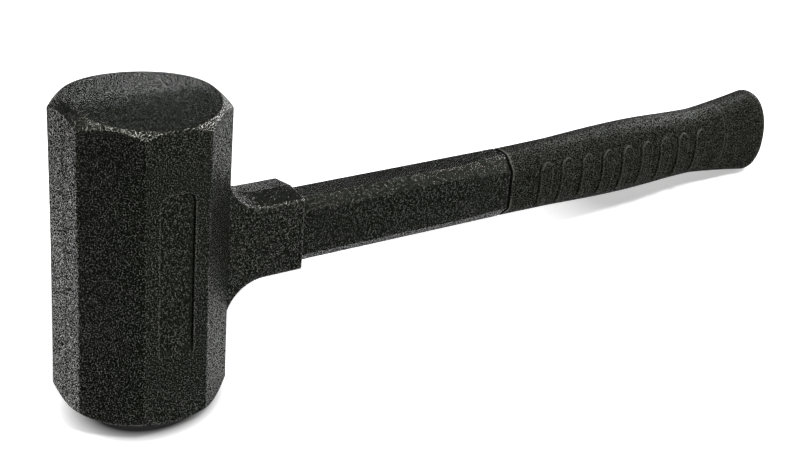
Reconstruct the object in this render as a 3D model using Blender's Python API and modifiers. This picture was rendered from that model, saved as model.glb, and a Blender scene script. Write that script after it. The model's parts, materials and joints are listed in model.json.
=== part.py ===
"""Dead blow hammer: an octagonal urethane head round a canister of shot, on a steel-cored handle."""

import math

import bmesh
import bpy
from mathutils import Matrix, Vector

# Sizes in metres. The hammer's own axes: X along the handle, Z up the head, and the origin at the
# centre of the lower striking face.

GAP = 0.0003                 # between pieces that touch

# Head moulding
HEAD_FLATS = 0.0700          # across the flats of the octagon
HEAD_HEIGHT = 0.1384         # from one striking face to the other
HEAD_WALL = 0.0067           # urethane between the flats and the canister
HEAD_EDGE_ROUND = 0.0016     # rounding of the octagon's eight edges
EDGE_WIDTH = 0.0038          # turned edge of a striking face, across to the octagon's corners
EDGE_DROP = 0.0040           # and down to them
FACE_PAD = 0.0120            # urethane between a lid and its striking face
PANEL_WIDTH = 0.0155         # sunk panel on the head's two sides
PANEL_HEIGHT = 0.0770
PANEL_CORNER = 0.0040
PANEL_DEPTH = 0.0014
PANEL_LIFT = 0.0013          # the panel's middle above the head's middle

# Neck and collar
HANDLE_DROP = 0.0035         # handle axis below the head's middle
NECK_FILLET = 0.0200
NECK_CROWN = 0.0019          # rise from the neck's sides to its middle, top and bottom
COLLAR_LENGTH = 0.0389       # from the head's flat to the collar's end
COLLAR_SIDE = 0.00315        # collar beyond the shaft at each side
COLLAR_TOP = 0.0016          # collar beyond the shaft above and below
COLLAR_WEB = 0.0079          # urethane between the socket and the end of the shaft

# Shaft sleeve
SHAFT_LENGTH = 0.1214        # in sight, from the collar to the grip
SHAFT_WIDTH = 0.0208
SHAFT_DEPTH = 0.0314
SHAFT_BEVEL_WIDTH = 0.0047
SHAFT_BEVEL_DEPTH = 0.0051
SHAFT_BLEND = 0.0300         # length over which the bevels grow towards the grip
SHAFT_BEVEL_GROWTH = 1.35
SPIGOT_WALL = 0.0020         # round ends that plug into the grip
SPIGOT_LENGTH = 0.0120

# Grip and butt: half heights of the oval section and where they lie
GRIP_LENGTH = 0.1482
GRIP_ASPECT = 0.690          # width over height of the oval
GRIP_STEP = 0.0009           # start of the grip beyond the shaft
BELLY_PLACE = 0.0747         # from the grip's start
BELLY_HALF = 0.01905
WAIST_PLACE = 0.0165         # from the grip's end
WAIST_HALF = 0.0181
BUTT_LENGTH = 0.0265         # from the grip to the rim
RIM_HALF = 0.0228
RIM_ROUND = 0.0040
FLARE_POWER = 1.7
SHAPE_START = 2.9            # superellipse power at the shaft, which is nearly square
SHAPE_GRIP = 2.15            # superellipse power in the hand
SHAPE_BLEND = 0.0350

# Raised ribs on the grip's sides
RIB_COUNT = 9
RIB_LEAD = 0.0183            # from the grip's start to the first rib
RIB_TAIL = 0.0138            # from the last rib to the grip's end
RIB_WIDTH = 0.0084
RIB_HALF_HEIGHT = 0.0112
RIB_RISE = 0.0013            # step at the rib's head end
RIB_RISE_END = 0.0004        # step at its butt end

# Canister and shot
CANISTER_WALL = 0.0015
LID_FLANGE = 0.0020
LID_PLUG = 0.0040
SHOT_TRAVEL = 0.0370
SHOT_CLEARANCE = 0.0005
SHOT_PACKING = 0.62          # share of the settled bed that is steel
SHOT_CRUST = 0.0080          # solid top of the bed, above the hollow that stands for the voids
BALL_RADIUS = 0.0032

# Rod and its joints
ROD_RADIUS = 0.0060
ROD_SHOULDER = 0.0018        # step down to the neck that the washer sits on
RIVET_LIP = 0.0016           # riveted head beyond that neck
RIVET_HEIGHT = 0.0024
SOCKET_WALL = 0.0042
SOCKET_LENGTH = 0.0240       # from the canister
PIN_RADIUS = 0.0020
PIN_PLACE = 0.0140           # from the canister
PIN_SINK = 0.0005            # pin's ends below the socket's surface
WASHER_RIM = 0.0045          # washer beyond the rod
WASHER_THICKNESS = 0.0030
WASHER_PLACE = 0.0115        # from the grip's end

# Steps round turned and oval pieces, and along curved stretches
TURN_STEPS = 64
SMALL_STEPS = 32
OVAL_STEPS = 32
FILLET_STEPS = 8
CORNER_STEPS = 4
BLEND_STEPS = 5
GRIP_STEPS = 20
BUTT_STEPS = 6

head_apothem = HEAD_FLATS / 2
head_corner = head_apothem / math.cos(math.pi / 8)
face_radius = head_corner - EDGE_WIDTH
panel_centre = HEAD_HEIGHT / 2 + PANEL_LIFT
handle_height = HEAD_HEIGHT / 2 - HANDLE_DROP

canister_radius = head_apothem - HEAD_WALL - GAP
canister_bottom = FACE_PAD + GAP
canister_top = HEAD_HEIGHT - FACE_PAD - GAP
tube_bottom = canister_bottom + LID_FLANGE + GAP
tube_top = canister_top - LID_FLANGE - GAP
shot_floor = canister_bottom + LID_FLANGE + LID_PLUG
shot_ceiling = canister_top - LID_FLANGE - LID_PLUG
shot_height = shot_ceiling - shot_floor - 2 * GAP - SHOT_TRAVEL

socket_radius = ROD_RADIUS + GAP + SOCKET_WALL
socket_end = canister_radius + SOCKET_LENGTH
pin_station = canister_radius + PIN_PLACE
pin_length = 2 * (socket_radius - PIN_SINK)
neck_width = SHAFT_WIDTH + 2 * COLLAR_SIDE
neck_depth = SHAFT_DEPTH + 2 * COLLAR_TOP
collar_end = head_apothem + COLLAR_LENGTH
shaft_start = socket_end + COLLAR_WEB
shaft_end = collar_end + SHAFT_LENGTH
spigot_radius = ROD_RADIUS + GAP + SPIGOT_WALL

grip_start_half = SHAFT_DEPTH / 2 + GRIP_STEP
grip_belly = shaft_end + BELLY_PLACE
grip_end = shaft_end + GRIP_LENGTH
grip_waist = grip_end - WAIST_PLACE
butt_rim = grip_end + BUTT_LENGTH
rib_first = shaft_end + RIB_LEAD
rib_pitch = (GRIP_LENGTH - RIB_LEAD - RIB_TAIL - RIB_WIDTH) / (RIB_COUNT - 1)

washer_station = grip_end + WASHER_PLACE
washer_radius = ROD_RADIUS + WASHER_RIM
rod_start = canister_radius + GAP
rod_shoulder = washer_station - GAP
rod_neck_radius = ROD_RADIUS - ROD_SHOULDER
rivet_start = washer_station + WASHER_THICKNESS + GAP
rivet_radius = rod_neck_radius + RIVET_LIP

for existing in list(bpy.data.objects):
    bpy.data.objects.remove(existing, do_unlink=True)
for existing in list(bpy.data.collections):
    bpy.data.collections.remove(existing)

parts = bpy.data.collections.new("dead_blow_hammer")
cutters = bpy.data.collections.new("cutters")
bpy.context.scene.collection.children.link(parts)
bpy.context.scene.collection.children.link(cutters)

axes = bpy.data.objects.new("hammer_axes", None)
bpy.context.scene.collection.objects.link(axes)


def make_material(name, colour, roughness, metallic):
    material = bpy.data.materials.new(name)
    material.use_nodes = True
    shader = material.node_tree.nodes["Principled BSDF"]
    shader.inputs["Base Color"].default_value = (*colour, 1.0)
    shader.inputs["Roughness"].default_value = roughness
    shader.inputs["Metallic"].default_value = metallic
    return material


def add_object(name, mesh, collection):
    item = bpy.data.objects.new(name, mesh)
    collection.objects.link(item)
    item.parent = axes
    if collection is cutters:
        item.hide_render = True
        item.display_type = "WIRE"
    return item


def turned(name, profile, collection, steps, along_handle=False):
    """A profile of (radius, station) points, listed from the top down its outer side, turned once."""
    mesh = bpy.data.meshes.new(name)
    build = bmesh.new()
    points = [build.verts.new((radius, 0.0, station)) for radius, station in profile]
    for first, second in zip(points, points[1:]):
        build.edges.new((first, second))
    if profile[0][0] > 0.0:
        build.edges.new((points[-1], points[0]))
    build.to_mesh(mesh)
    build.free()
    item = add_object(name, mesh, collection)
    screw = item.modifiers.new("turn", "SCREW")
    screw.axis = "Z"
    screw.angle = math.tau
    screw.steps = steps
    screw.render_steps = steps
    screw.use_merge_vertices = True
    screw.merge_threshold = 0.00002
    if along_handle:
        item.rotation_euler = (0.0, math.pi / 2, 0.0)
        item.location = (0.0, 0.0, handle_height)
    return item


def lofted(name, rings, collection):
    """A skin through rings of equal point counts, closed with a flat face at each end."""
    mesh = bpy.data.meshes.new(name)
    build = bmesh.new()
    rows = [[build.verts.new(point) for point in ring] for ring in rings]
    count = len(rows[0])
    for near, far in zip(rows, rows[1:]):
        for index in range(count):
            after = (index + 1) % count
            build.faces.new((near[index], near[after], far[after], far[index]))
    build.faces.new(rows[0][::-1])
    build.faces.new(rows[-1])
    bmesh.ops.recalc_face_normals(build, faces=build.faces)
    build.to_mesh(mesh)
    build.free()
    return add_object(name, mesh, collection)


def cylinder(name, radius, length, collection, steps):
    """A cylinder along Z, centred on its own origin."""
    mesh = bpy.data.meshes.new(name)
    build = bmesh.new()
    bmesh.ops.create_cone(
        build, cap_ends=True, segments=steps, radius1=radius, radius2=radius, depth=length
    )
    build.to_mesh(mesh)
    build.free()
    return add_object(name, mesh, collection)


def combine(item, tool, operation):
    boolean = item.modifiers.new(operation.lower(), "BOOLEAN")
    boolean.operation = operation
    boolean.solver = "EXACT"
    boolean.object = tool


def dress(item, material, angle=math.radians(30)):
    item.data.materials.clear()
    item.data.materials.append(material)
    item.data.shade_smooth()
    item.data.set_sharp_from_angle(angle=angle)


def ease(low, high, share):
    """A value that leaves low and reaches high without a kink."""
    share = min(max(share, 0.0), 1.0)
    return low + (high - low) * (1.0 - math.cos(math.pi * share)) / 2


def neck_ring(station, half_depth):
    half = neck_width / 2
    crown = half_depth + NECK_CROWN
    outline = (
        (-half, half_depth), (-half, -half_depth), (0.0, -crown),
        (half, -half_depth), (half, half_depth), (0.0, crown),
    )
    return [Vector((station, y, handle_height + z)) for y, z in outline]


def shaft_ring(station, grow):
    """The bevelled section of the shaft, larger all round by grow."""
    blend = ease(1.0, SHAFT_BEVEL_GROWTH, (station - shaft_end + SHAFT_BLEND) / SHAFT_BLEND)
    half_width = SHAFT_WIDTH / 2 + grow
    half_depth = SHAFT_DEPTH / 2 + grow
    flat_width = half_width - SHAFT_BEVEL_WIDTH * blend
    flat_depth = half_depth - SHAFT_BEVEL_DEPTH * blend
    quarter = ((half_width, flat_depth), (flat_width, half_depth))
    outline = [*quarter]
    outline += [(-y, z) for y, z in reversed(quarter)]
    outline += [(-y, -z) for y, z in quarter]
    outline += [(y, -z) for y, z in reversed(quarter)]
    return [Vector((station, y, handle_height + z)) for y, z in outline]


def grip_half(station):
    """Half height of the handle's oval at a station from the shaft to the butt's rim."""
    if station < grip_belly:
        return ease(
            grip_start_half, BELLY_HALF, (station - shaft_end) / (grip_belly - shaft_end)
        )
    if station < grip_waist:
        return ease(
            BELLY_HALF, WAIST_HALF, (station - grip_belly) / (grip_waist - grip_belly)
        )
    share = (station - grip_waist) / (butt_rim - grip_waist)
    return WAIST_HALF + (RIM_HALF - WAIST_HALF) * share ** FLARE_POWER


def oval_ring(station, half_height, grow=0.0):
    """A superellipse across the handle, flatter sided next to the shaft."""
    power = ease(SHAPE_START, SHAPE_GRIP, (station - shaft_end) / SHAPE_BLEND)
    ring = []
    for index in range(OVAL_STEPS):
        angle = (index + 0.5) * math.tau / OVAL_STEPS
        cosine = math.cos(angle)
        sine = math.sin(angle)
        y = math.copysign(abs(cosine) ** (2 / power), cosine)
        z = math.copysign(abs(sine) ** (2 / power), sine)
        width = half_height * GRIP_ASPECT + grow
        ring.append(Vector((station, y * width, handle_height + z * (half_height + grow))))
    return ring


def stadium(half_width, half_height, corner):
    """A rectangle with round corners, as (across, up) points."""
    outline = []
    for turn, (side, rise) in enumerate(((1, 1), (-1, 1), (-1, -1), (1, -1))):
        for index in range(CORNER_STEPS + 1):
            angle = (turn + index / CORNER_STEPS) * math.pi / 2
            across = side * (half_width - corner) + corner * math.cos(angle)
            outline.append((across, rise * (half_height - corner) + corner * math.sin(angle)))
    return outline


def side_plates(name, outline, centres, middle, thickness):
    """Copies of an (x, z) outline in the plane y = middle, thickened evenly to both sides."""
    mesh = bpy.data.meshes.new(name)
    build = bmesh.new()
    for across, up in centres:
        build.faces.new([build.verts.new((across + x, middle, up + z)) for x, z in outline])
    build.to_mesh(mesh)
    build.free()
    item = add_object(name, mesh, cutters)
    thicken = item.modifiers.new("thicken", "SOLIDIFY")
    thicken.thickness = thickness
    thicken.offset = 0.0
    return item


urethane = make_material("black_urethane", (0.018, 0.018, 0.016), 0.55, 0.0)
grip_urethane = make_material("grip_urethane", (0.016, 0.016, 0.015), 0.6, 0.0)
shaft_urethane = make_material("shaft_urethane", (0.018, 0.018, 0.017), 0.55, 0.0)
butt_urethane = make_material("butt_urethane", (0.017, 0.017, 0.016), 0.6, 0.0)
tube_steel = make_material("tube_steel", (0.42, 0.42, 0.43), 0.4, 1.0)
lid_steel = make_material("lid_steel", (0.45, 0.45, 0.46), 0.38, 1.0)
shot_steel = make_material("shot_steel", (0.5, 0.5, 0.52), 0.3, 1.0)
socket_steel = make_material("socket_steel", (0.36, 0.36, 0.37), 0.45, 1.0)
pin_steel = make_material("pin_steel", (0.52, 0.52, 0.53), 0.3, 1.0)
rod_steel = make_material("rod_steel", (0.4, 0.4, 0.41), 0.42, 1.0)
washer_steel = make_material("washer_steel", (0.48, 0.48, 0.5), 0.35, 1.0)


# Head moulding: an octagonal bar with turned ends, the neck run into its handle side, and the
# hollows for the canister, the socket, the rod and the end of the shaft.

mesh = bpy.data.meshes.new("head_casing")
build = bmesh.new()
bmesh.ops.create_cone(
    build, cap_ends=True, segments=8, radius1=head_corner, radius2=head_corner, depth=HEAD_HEIGHT
)
bmesh.ops.rotate(build, verts=build.verts, matrix=Matrix.Rotation(math.pi / 8, 3, "Z"))
bmesh.ops.translate(build, verts=build.verts, vec=(0.0, 0.0, HEAD_HEIGHT / 2))
upright = [edge for edge in build.edges if abs(edge.verts[0].co.z - edge.verts[1].co.z) > GAP]
bmesh.ops.bevel(
    build, geom=upright, offset=HEAD_EDGE_ROUND, segments=3, affect="EDGES", profile=0.5
)
build.to_mesh(mesh)
build.free()
head_casing = add_object("head_casing", mesh, parts)

turned_reach = head_corner + EDGE_DROP
turned_drop = EDGE_DROP * (turned_reach - face_radius) / (head_corner - face_radius)
face_turning = turned(
    "face_turning",
    (
        (0.0, HEAD_HEIGHT),
        (face_radius, HEAD_HEIGHT),
        (turned_reach, HEAD_HEIGHT - turned_drop),
        (turned_reach, turned_drop),
        (face_radius, 0.0),
        (0.0, 0.0),
    ),
    cutters,
    TURN_STEPS,
)
face_turning.rotation_euler = (0.0, 0.0, math.pi / TURN_STEPS)
combine(head_casing, face_turning, "INTERSECT")

fillet_start = head_apothem - GAP
neck_rings = [neck_ring(canister_radius, neck_depth / 2 + NECK_FILLET)]
for step in range(FILLET_STEPS + 1):
    angle = step / FILLET_STEPS * math.pi / 2
    neck_rings.append(
        neck_ring(
            fillet_start + NECK_FILLET * (1.0 - math.cos(angle)),
            neck_depth / 2 + NECK_FILLET * (1.0 - math.sin(angle)),
        )
    )
neck_rings.append(neck_ring(collar_end, neck_depth / 2))
combine(head_casing, lofted("neck", neck_rings, cutters), "UNION")

panel_outline = stadium(PANEL_WIDTH / 2, PANEL_HEIGHT / 2, PANEL_CORNER)
for name, facet in (("near_panel", -head_apothem), ("far_panel", head_apothem)):
    panel = side_plates(name, panel_outline, [(0.0, panel_centre)], facet, 2 * PANEL_DEPTH)
    combine(head_casing, panel, "DIFFERENCE")

canister_hollow = cylinder(
    "canister_hollow",
    canister_radius + GAP,
    canister_top - canister_bottom + 2 * GAP,
    cutters,
    TURN_STEPS,
)
canister_hollow.location = (0.0, 0.0, (canister_top + canister_bottom) / 2)
combine(head_casing, canister_hollow, "DIFFERENCE")

socket_hollow = turned(
    "socket_hollow",
    (
        (0.0, socket_end + GAP),
        (socket_radius + GAP, socket_end + GAP),
        (socket_radius + GAP, canister_radius / 2),
        (0.0, canister_radius / 2),
    ),
    cutters,
    SMALL_STEPS,
    along_handle=True,
)
combine(head_casing, socket_hollow, "DIFFERENCE")

shaft_hollow = lofted(
    "shaft_hollow",
    [shaft_ring(shaft_start - GAP, GAP), shaft_ring(collar_end + NECK_CROWN, GAP)],
    cutters,
)
combine(head_casing, shaft_hollow, "DIFFERENCE")

rod_bore = turned(
    "rod_bore",
    (
        (0.0, grip_end),
        (ROD_RADIUS + GAP, grip_end),
        (ROD_RADIUS + GAP, canister_radius / 2),
        (0.0, canister_radius / 2),
    ),
    cutters,
    SMALL_STEPS,
    along_handle=True,
)
combine(head_casing, rod_bore, "DIFFERENCE")
dress(head_casing, urethane)


# Canister: a plain tube with a flanged lid in each end.

tube_inner = canister_radius - CANISTER_WALL
canister_tube = turned(
    "canister_tube",
    (
        (tube_inner, tube_top),
        (canister_radius, tube_top),
        (canister_radius, tube_bottom),
        (tube_inner, tube_bottom),
    ),
    parts,
    TURN_STEPS,
)
dress(canister_tube, tube_steel)

plug_radius = tube_inner - GAP
lid_profile = (
    (0.0, LID_FLANGE + LID_PLUG),
    (plug_radius - LID_PLUG / 4, LID_FLANGE + LID_PLUG),
    (plug_radius, LID_FLANGE + LID_PLUG * 3 / 4),
    (plug_radius, LID_FLANGE),
    (canister_radius, LID_FLANGE),
    (canister_radius, 0.0),
    (0.0, 0.0),
)
canister_cap_lower = turned("canister_cap_lower", lid_profile, parts, TURN_STEPS)
canister_cap_lower.location = (0.0, 0.0, canister_bottom)
dress(canister_cap_lower, lid_steel)
canister_cap_upper = turned("canister_cap_upper", lid_profile, parts, TURN_STEPS)
canister_cap_upper.location = (0.0, 0.0, canister_top)
canister_cap_upper.rotation_euler = (math.pi, 0.0, 0.0)
dress(canister_cap_upper, lid_steel)


# Shot: a settled bed with the uppermost balls showing, lying on the lower lid. It is one body,
# hollowed from below so that it weighs what the loose shot would.

bed_radius = tube_inner - SHOT_CLEARANCE
bed_height = shot_height - BALL_RADIUS
void_height = bed_height - SHOT_CRUST
void_radius = bed_radius * math.sqrt((1.0 - SHOT_PACKING) * bed_height / void_height)
shot_charge = turned(
    "shot_charge",
    (
        (0.0, bed_height),
        (bed_radius - BALL_RADIUS / 4, bed_height),
        (bed_radius, bed_height - BALL_RADIUS / 4),
        (bed_radius, BALL_RADIUS / 4),
        (bed_radius - BALL_RADIUS / 4, 0.0),
        (void_radius, 0.0),
        (void_radius, void_height),
        (0.0, void_height),
    ),
    parts,
    TURN_STEPS,
)
shot_charge.location = (0.0, 0.0, shot_floor + GAP)

mesh = bpy.data.meshes.new("top_balls")
build = bmesh.new()
ball_step = 2 * BALL_RADIUS + GAP
ring_count = int((bed_radius - BALL_RADIUS - GAP) / ball_step)
for ring in range(ring_count + 1):
    ring_balls = max(1, 6 * ring)
    for ball in range(ring_balls):
        turn = Matrix.Rotation(ball / ring_balls * math.tau, 4, "Z")
        place = turn @ Matrix.Translation((ring * ball_step, 0.0, 0.0))
        bmesh.ops.create_uvsphere(
            build, u_segments=8, v_segments=5, radius=BALL_RADIUS, matrix=place
        )
build.to_mesh(mesh)
build.free()
top_balls = add_object("top_balls", mesh, cutters)
top_balls.location = (0.0, 0.0, shot_floor + GAP + bed_height)
combine(shot_charge, top_balls, "UNION")
dress(shot_charge, shot_steel)


# Rod, the socket that seats it on the canister, the pin through both and the washer at its far end.

rod_socket = turned(
    "rod_socket",
    (
        (0.0, socket_end),
        (socket_radius - PIN_RADIUS / 2, socket_end),
        (socket_radius, socket_end - PIN_RADIUS / 2),
        (socket_radius, canister_radius / 2),
        (0.0, canister_radius / 2),
    ),
    parts,
    SMALL_STEPS,
    along_handle=True,
)
saddle = cylinder("saddle", canister_radius + GAP, 4 * socket_radius, cutters, 2 * TURN_STEPS)
saddle.location = (0.0, 0.0, handle_height)
combine(rod_socket, saddle, "DIFFERENCE")
combine(rod_socket, rod_bore, "DIFFERENCE")
pin_way = cylinder("pin_way", PIN_RADIUS + GAP, 4 * socket_radius, cutters, SMALL_STEPS // 2)
pin_way.rotation_euler = (math.pi / 2, 0.0, 0.0)
pin_way.location = (pin_station, 0.0, handle_height)
combine(rod_socket, pin_way, "DIFFERENCE")
dress(rod_socket, socket_steel)

socket_pin = cylinder("socket_pin", PIN_RADIUS, pin_length, parts, SMALL_STEPS // 2)
socket_pin.rotation_euler = (math.pi / 2, 0.0, 0.0)
socket_pin.location = (pin_station, 0.0, handle_height)
pin_edges = socket_pin.modifiers.new("ends", "BEVEL")
pin_edges.width = PIN_RADIUS / 4
pin_edges.segments = 1
pin_edges.limit_method = "ANGLE"
pin_edges.angle_limit = math.radians(60)
dress(socket_pin, pin_steel)

handle_rod = turned(
    "handle_rod",
    (
        (0.0, rivet_start + RIVET_HEIGHT),
        (rod_neck_radius, rivet_start + RIVET_HEIGHT),
        (rivet_radius, rivet_start + RIVET_HEIGHT / 2),
        (rivet_radius, rivet_start),
        (rod_neck_radius, rivet_start),
        (rod_neck_radius, rod_shoulder),
        (ROD_RADIUS, rod_shoulder),
        (ROD_RADIUS, rod_start + PIN_RADIUS / 2),
        (ROD_RADIUS - PIN_RADIUS / 2, rod_start),
        (0.0, rod_start),
    ),
    parts,
    SMALL_STEPS,
    along_handle=True,
)
combine(handle_rod, pin_way, "DIFFERENCE")
dress(handle_rod, rod_steel)

anchor_washer = turned(
    "anchor_washer",
    (
        (rod_neck_radius + GAP, washer_station + WASHER_THICKNESS),
        (washer_radius, washer_station + WASHER_THICKNESS),
        (washer_radius, washer_station),
        (rod_neck_radius + GAP, washer_station),
    ),
    parts,
    SMALL_STEPS,
    along_handle=True,
)
dress(anchor_washer, washer_steel)


# Shaft sleeve: bevelled bar, with bevels that widen to meet the oval grip and a round end inside it.

shaft_rings = [shaft_ring(shaft_start, 0.0)]
for step in range(BLEND_STEPS + 1):
    station = shaft_end - GAP - SHAFT_BLEND * (1.0 - step / BLEND_STEPS)
    shaft_rings.append(shaft_ring(station, 0.0))
shaft_sleeve = lofted("shaft_sleeve", shaft_rings, parts)
shaft_spigot = turned(
    "shaft_spigot",
    (
        (0.0, shaft_end + SPIGOT_LENGTH),
        (spigot_radius, shaft_end + SPIGOT_LENGTH),
        (spigot_radius, shaft_end - SPIGOT_LENGTH),
        (0.0, shaft_end - SPIGOT_LENGTH),
    ),
    cutters,
    SMALL_STEPS,
    along_handle=True,
)
combine(shaft_sleeve, shaft_spigot, "UNION")
combine(shaft_sleeve, rod_bore, "DIFFERENCE")
dress(shaft_sleeve, shaft_urethane)


# Grip: an oval that swells in the hand, with raised ribs that each step up on the head side and run
# back down towards the butt.

grip_rings = []
for step in range(GRIP_STEPS + 1):
    station = shaft_end + (grip_end - shaft_end) * step / GRIP_STEPS
    grip_rings.append(oval_ring(station, grip_half(station)))
grip_sleeve = lofted("grip_sleeve", grip_rings, parts)

# A fatter skin with a saw-tooth length, of which only the ribs' own outlines are kept.
rib_rings = []
rib_centres = []
for rib in range(RIB_COUNT):
    rib_start = rib_first + rib * rib_pitch
    rib_end = rib_start + RIB_WIDTH
    rib_centres.append(((rib_start + rib_end) / 2, handle_height))
    for station, rise in (
        (rib_start - GAP, RIB_RISE),
        (rib_start, RIB_RISE),
        (rib_end, RIB_RISE_END),
        (rib_end + GAP, RIB_RISE_END),
    ):
        rib_rings.append(oval_ring(station, grip_half(station), rise))
grip_ribs = lofted("grip_ribs", rib_rings, cutters)
rib_outline = stadium(RIB_WIDTH / 2, RIB_HALF_HEIGHT, RIB_WIDTH / 2 - GAP)
rib_plates = side_plates("rib_plates", rib_outline, rib_centres, 0.0, 2 * BELLY_HALF)
combine(grip_ribs, rib_plates, "INTERSECT")
combine(grip_sleeve, grip_ribs, "UNION")

grip_hollow = turned(
    "grip_hollow",
    (
        (0.0, grip_end + SPIGOT_LENGTH),
        (spigot_radius + GAP, grip_end + SPIGOT_LENGTH),
        (spigot_radius + GAP, grip_end - SPIGOT_LENGTH - GAP),
        (ROD_RADIUS + GAP, grip_end - SPIGOT_LENGTH - GAP),
        (ROD_RADIUS + GAP, shaft_end + SPIGOT_LENGTH + GAP),
        (spigot_radius + GAP, shaft_end + SPIGOT_LENGTH + GAP),
        (spigot_radius + GAP, shaft_end - SPIGOT_LENGTH),
        (0.0, shaft_end - SPIGOT_LENGTH),
    ),
    cutters,
    SMALL_STEPS,
    along_handle=True,
)
combine(grip_sleeve, grip_hollow, "DIFFERENCE")
dress(grip_sleeve, grip_urethane)


# Butt: the flare behind the grip, closed over the anchored end of the rod.

butt_rings = []
for step in range(BUTT_STEPS + 1):
    station = grip_end + GAP + (butt_rim - grip_end - GAP) * step / BUTT_STEPS
    butt_rings.append(oval_ring(station, grip_half(station)))
for step in range(1, CORNER_STEPS + 1):
    angle = step / CORNER_STEPS * math.pi / 2
    station = butt_rim + RIM_ROUND * math.sin(angle)
    shrink = RIM_ROUND * (1.0 - math.cos(angle))
    butt_rings.append(oval_ring(station, RIM_HALF, -shrink))
butt_cap = lofted("butt_cap", butt_rings, parts)
butt_spigot = turned(
    "butt_spigot",
    (
        (0.0, grip_end + SPIGOT_LENGTH / 2),
        (spigot_radius, grip_end + SPIGOT_LENGTH / 2),
        (spigot_radius, grip_end - SPIGOT_LENGTH),
        (0.0, grip_end - SPIGOT_LENGTH),
    ),
    cutters,
    SMALL_STEPS,
    along_handle=True,
)
combine(butt_cap, butt_spigot, "UNION")
butt_hollow = turned(
    "butt_hollow",
    (
        (0.0, rivet_start + RIVET_HEIGHT + GAP),
        (rivet_radius + GAP, rivet_start + RIVET_HEIGHT + GAP),
        (rivet_radius + GAP, rivet_start),
        (washer_radius + GAP, rivet_start),
        (washer_radius + GAP, washer_station - GAP),
        (ROD_RADIUS + GAP, washer_station - GAP),
        (ROD_RADIUS + GAP, shaft_end),
        (0.0, shaft_end),
    ),
    cutters,
    SMALL_STEPS,
    along_handle=True,
)
combine(butt_cap, butt_hollow, "DIFFERENCE")
dress(butt_cap, butt_urethane)


# At rest the hammer lies tipped onto its butt: the tilt is the least that brings a point of the butt
# down to the level of the lower face's rim. The frame's origin is then put under the middle.

rim_reach = face_radius * math.cos(math.pi / TURN_STEPS)
tilt = min(math.atan2(point.z, point.x - rim_reach) for ring in butt_rings for point in ring)
axes.rotation_euler = (0.0, tilt, 0.0)
bpy.context.view_layer.update()

scene_state = bpy.context.evaluated_depsgraph_get()
corners = []
for item in parts.objects:
    solid = item.evaluated_get(scene_state)
    placed = solid.to_mesh()
    corners.extend(solid.matrix_world @ vertex.co for vertex in placed.vertices)
    solid.to_mesh_clear()
axes.location = (
    -(min(p.x for p in corners) + max(p.x for p in corners)) / 2,
    -(min(p.y for p in corners) + max(p.y for p in corners)) / 2,
    -min(p.z for p in corners),
)
bpy.context.view_layer.update()
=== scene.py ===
"""Looks of the dead blow hammer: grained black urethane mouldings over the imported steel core."""

import json
import math

import bmesh
import bpy
from mathutils import Matrix, Vector


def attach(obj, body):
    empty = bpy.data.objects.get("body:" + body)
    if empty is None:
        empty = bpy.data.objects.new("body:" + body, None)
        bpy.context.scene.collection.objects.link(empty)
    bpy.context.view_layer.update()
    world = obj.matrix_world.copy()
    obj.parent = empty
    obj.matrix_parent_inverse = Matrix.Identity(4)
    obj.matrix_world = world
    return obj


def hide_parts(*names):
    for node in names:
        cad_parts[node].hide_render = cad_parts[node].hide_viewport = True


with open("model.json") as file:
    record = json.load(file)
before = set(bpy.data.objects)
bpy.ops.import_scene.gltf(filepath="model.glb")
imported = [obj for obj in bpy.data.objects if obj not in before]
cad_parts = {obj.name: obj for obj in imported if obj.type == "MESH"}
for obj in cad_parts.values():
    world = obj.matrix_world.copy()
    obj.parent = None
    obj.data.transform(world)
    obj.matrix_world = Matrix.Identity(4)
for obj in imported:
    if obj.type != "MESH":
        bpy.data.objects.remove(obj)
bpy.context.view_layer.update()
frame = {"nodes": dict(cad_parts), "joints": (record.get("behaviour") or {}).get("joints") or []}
nodes = frame["nodes"]

# The hammer's own axes, read from the frame: along the handle, to the side and up the head, with the
# origin at the centre of the lower striking face. Pieces are modelled in these axes, in metres.

up = Vector(frame["joints"][0]["axis"]).normalized()
side = Vector((0.0, 1.0, 0.0))
along = side.cross(up)


def node_points(node):
    return [vertex.co.copy() for vertex in nodes[node].data.vertices]


tube_points = node_points("canister_tube")
tube_middle = sum(tube_points, Vector()) / len(tube_points)
head_low = min(up.dot(point) for point in node_points("head_casing"))
origin = tube_middle + up * (head_low - up.dot(tube_middle))
hammer = Matrix((along, side, up)).transposed().to_4x4()
hammer.translation = origin


def span(node, axis):
    """Where a CAD node starts and ends along one of the hammer's axes."""
    places = [axis.dot(point - origin) for point in node_points(node)]
    return min(places), max(places)


head_half = span("head_casing", side)[1]
head_height = span("head_casing", up)[1]
collar_end = span("head_casing", along)[1]
rod_bottom, rod_top = span("handle_rod", up)
handle_height = (rod_bottom + rod_top) / 2
shaft_start = span("shaft_sleeve", along)[0]
shaft_half_width = span("shaft_sleeve", side)[1]
shaft_half_depth = span("shaft_sleeve", up)[1] - handle_height
grip_start, grip_end = span("grip_sleeve", along)
butt_end = span("butt_cap", along)[1]
cad_rim_half = span("butt_cap", up)[1] - handle_height
canister_bottom = span("canister_cap_lower", up)[0]
canister_top = span("canister_cap_upper", up)[1]
canister_radius = span("canister_tube", side)[1]
socket_end = span("rod_socket", along)[1]
socket_radius = span("rod_socket", side)[1]
rod_radius = (rod_top - rod_bottom) / 2

# Sizes that the frame doesn't give, in metres

GAP = 0.0003                 # between pieces that touch

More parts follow.
